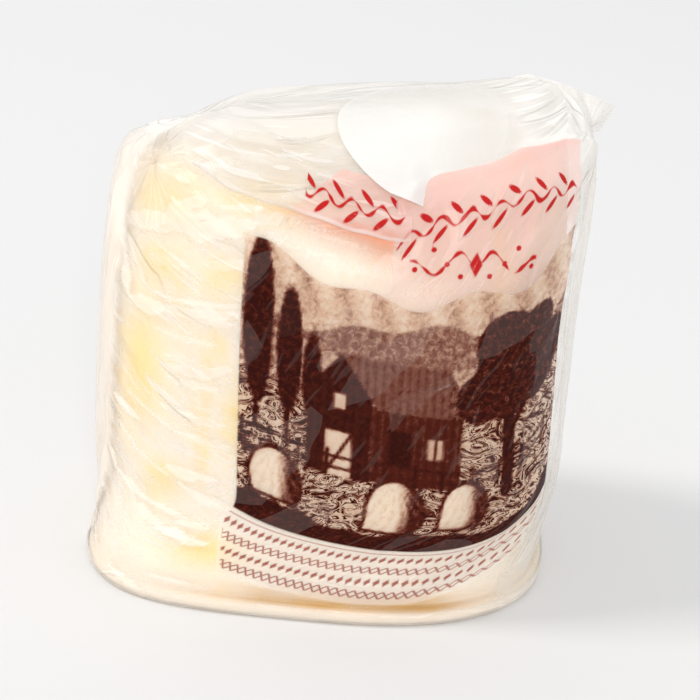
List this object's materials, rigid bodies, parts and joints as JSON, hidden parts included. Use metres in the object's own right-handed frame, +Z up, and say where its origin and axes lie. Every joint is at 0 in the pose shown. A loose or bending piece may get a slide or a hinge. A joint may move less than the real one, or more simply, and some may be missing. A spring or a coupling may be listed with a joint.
{
  "type": "provola cheese in a clear bag",
  "caption": "Rounded block of pale stretched-curd cheese standing in a snug clear printed bag with a rolled foot, pinched corners and a round label on top.",
  "frame": {"origin": "middle of the face that the bag rests on", "axes": "+Z up, the printed front faces -Y, the seam along the top runs along X with its pinched corner at +X"},
  "size_m": [0.1019, 0.0781, 0.1021],
  "materials": {
    "clear_film": "clear gloss film drawn over pale cream cheese, sepia and pink print on the front",
    "label_film": "milky white, slightly see-through",
    "cheese_paste": "moist pale cream stretched curd with yellow patches"
  },
  "bodies": {
    "root": {"cheese_bag": "clear_film", "round_label": "label_film"}
  },
  "joints": []
}
